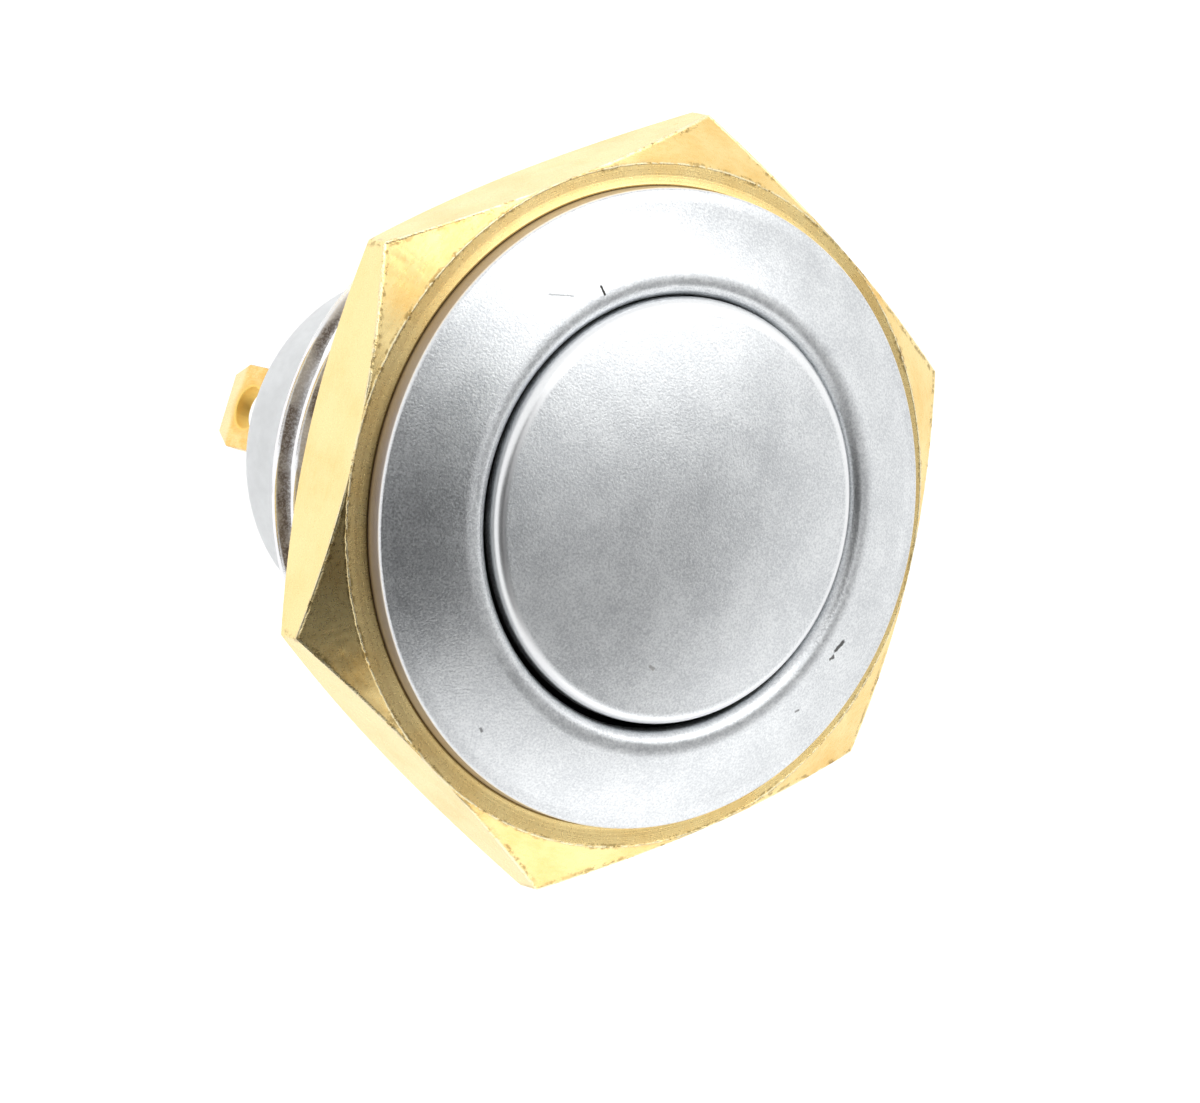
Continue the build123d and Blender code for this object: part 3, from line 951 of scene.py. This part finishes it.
looks = {
    "bodyMetal": makeBodyMetal("bezelPlate"),
    "buttonMetal": makeButtonMetal("buttonBlasted"),
    "nutBrass": makeBrass("nutBrass"),
    "basePlastic": makeMoulded("basePlastic", (0.90, 0.92, 0.93), 0.38),
    "blackPlastic": makeMoulded("plungerPlastic", (0.04, 0.04, 0.042), 0.45),
    "rubber": makeMoulded("sealRubber", (0.018, 0.018, 0.018), 0.62, 0.15, 0.01),
    "resin": makeMoulded("pottingResin", (0.035, 0.034, 0.032), 0.18, 0.8, 0.006),
    "tabGold": makeTabGold("tabGold"),
    "spring": makeStamped("springSteel", (0.62, 0.62, 0.62), 0.30),
    "stripBrass": makeStamped("stripBrass", (0.80, 0.58, 0.24), 0.30, (6, 1, 1)),
    "silver": makeStamped("contactSilver", (0.88, 0.87, 0.84), 0.22, (3, 3, 1), 0.15),
}
print("stage: materials made")

makeBezel()
makeButton()
makeNut()
print("stage: bezel, button and nut made")
makeBase()
for side in (-1, 1):
    makeTab(side)
for springName in springs:
    makeSpring(springName)
print("stage: base, tabs and springs made")

# CAD nodes that stay as they are, with the look of each
carried = {
    "panel_seal": "rubber",
    "button_seal": "rubber",
    "base_seal": "rubber",
    "plunger": "blackPlastic",
    "guide_plate": "blackPlastic",
    "plunger_clip": "spring",
    "snap_ring": "spring",
    "contact_bridge": "stripBrass",
    "bridge_contact_left": "silver",
    "bridge_contact_right": "silver",
    "fixed_contact_left": "silver",
    "fixed_contact_right": "silver",
    "rear_potting": "resin",
}
for nodeName, lookName in carried.items():
    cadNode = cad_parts[nodeName]
    cadNode.data.materials.clear()
    cadNode.data.materials.append(looks[lookName])
    cadNode.data.shade_smooth()
    cadNode.data.set_sharp_from_angle(angle=math.radians(35))
print("stage: inner parts dressed")

# The camera of the photograph, in the frame of the part
camera = {
    "place": (-142.63, -11.75, 206.36),
    "right": (0.7820, 0.2901, 0.5516),
    "up": (-0.2614, 0.9562, -0.1323),
    "lens": 270.0,
}
right = Vector(camera["right"]).normalized()
up = Vector(camera["up"]).normalized()
back = right.cross(up).normalized()
up = back.cross(right)
eye = bpy.data.objects.new("photoCamera", bpy.data.cameras.new("photoCamera"))
bpy.context.scene.collection.objects.link(eye)
turn = Matrix((right, up, back)).transposed().to_4x4()
eye.matrix_world = Matrix.Translation(Vector(camera["place"]) * mm) @ turn
eye.data.lens = camera["lens"]
eye.data.sensor_width = 36
eye.data.clip_start = 0.005
eye.data.clip_end = 10
bpy.context.scene.camera = eye

studio = {
    "floorLevel": -60,
    "floorRadius": 900,
    "floorGrey": 0.85,
    "floorGlow": 0.40,
    "worldLight": 0.95,
    "lamps": {
        "keyBox": {"way": (0.74, 0.39, 0.55), "far": 300, "size": (300, 170), "watts": 0.22},
        "lowBox": {"way": (0.62, -0.78, 0.0), "far": 300, "size": (300, 170), "watts": 0.07},
        "leftBox": {"way": (-0.88, 0.0, -0.45), "far": 300, "size": (260, 260), "watts": 0.14},
    },
    "cards": {
        "cameraCard": {"way": (0.16, -0.30, 0.94), "far": 420, "size": (400, 480), "grey": 0.07},
        "sideCard": {"way": (0.86, -0.26, 0.40), "far": 430, "size": (400, 210), "grey": 0.32},
    },
}


# A direction made of shares of the picture's right and up and the way back to the camera
def towards(way):
    return (right * way[0] + up * way[1] + back * way[2]).normalized()


# Puts a lamp or card that far out, facing the part
def aimAtPart(thing, way, far):
    direction = towards(way)
    thing.location = direction * far * mm
    thing.rotation_mode = "QUATERNION"
    thing.rotation_quaternion = direction.to_track_quat("Z", "Y")


for lampName, lamp in studio["lamps"].items():
    light = bpy.data.lights.new(lampName, "AREA")
    light.shape = "RECTANGLE"
    light.size = lamp["size"][0] * mm
    light.size_y = lamp["size"][1] * mm
    light.energy = lamp["watts"]
    holder = bpy.data.objects.new(lampName, light)
    bpy.context.scene.collection.objects.link(holder)
    aimAtPart(holder, lamp["way"], lamp["far"])


# 1 for what the camera or a shiny surface sees, 0 for the light that falls on things
def seenDirectly(wire):
    seen = wire.node("ShaderNodeLightPath", out="Is Camera Ray")
    mirrored = wire.node("ShaderNodeLightPath", out="Is Glossy Ray")
    return (seen + mirrored).atMost(1.0)


# Matt paper, with a glow of its own only where it is seen directly
def plainPaper(name, grey, whiteToCamera):
    material = bpy.data.materials.new(name)
    material.use_nodes = True
    tree = material.node_tree
    wire = Wire(tree)
    shader = tree.nodes["Principled BSDF"]
    shader.inputs["Base Color"].default_value = (grey, grey, grey, 1)
    shader.inputs["Roughness"].default_value = 0.9
    shader.inputs["Specular IOR Level"].default_value = 0.0
    if whiteToCamera:
        glow = seenDirectly(wire) * whiteToCamera
        shader.inputs["Emission Color"].default_value = (1, 1, 1, 1)
        tree.links.new(glow.socket, shader.inputs["Emission Strength"])
    return material


# A flat round sheet for the part to stand over
def disc(name, radius, level, material):
    made = bmesh.new()
    bmesh.ops.create_circle(made, cap_ends=True, segments=96, radius=radius * mm)
    bmesh.ops.translate(made, verts=made.verts, vec=(0, 0, level * mm))
    mesh = bpy.data.meshes.new(name)
    made.to_mesh(mesh)
    made.free()
    mesh.materials.append(material)
    piece = bpy.data.objects.new(name, mesh)
    bpy.context.scene.collection.objects.link(piece)


floorPaper = plainPaper("floorPaper", studio["floorGrey"], studio["floorGlow"])
disc("floor", studio["floorRadius"], studio["floorLevel"], floorPaper)

for cardName, card in studio["cards"].items():
    x, y = card["size"][0] / 2 * mm, card["size"][1] / 2 * mm
    sheet = bpy.data.meshes.new(cardName)
    corners = [(-x, -y, 0), (x, -y, 0), (x, y, 0), (-x, y, 0)]
    sheet.from_pydata(corners, [], [(0, 1, 2, 3)])
    sheet.materials.append(plainPaper(cardName + "Paper", card["grey"], 0))
    cardPiece = bpy.data.objects.new(cardName, sheet)
    bpy.context.scene.collection.objects.link(cardPiece)
    aimAtPart(cardPiece, card["way"], card["far"])
    cardPiece.visible_camera = False
    cardPiece.visible_shadow = False

world = bpy.data.worlds.new("studioAir")
bpy.context.scene.world = world
world.use_nodes = True
air = Wire(world.node_tree)
sky = world.node_tree.nodes["Background"]
level = studio["worldLight"] + seenDirectly(air) * (1 - studio["worldLight"])
world.node_tree.links.new(level.socket, sky.inputs["Strength"])
sky.inputs["Color"].default_value = (1, 1, 1, 1)

bpy.context.scene.view_settings.view_transform = "Standard"
print("stage: camera, floor and lamps set")
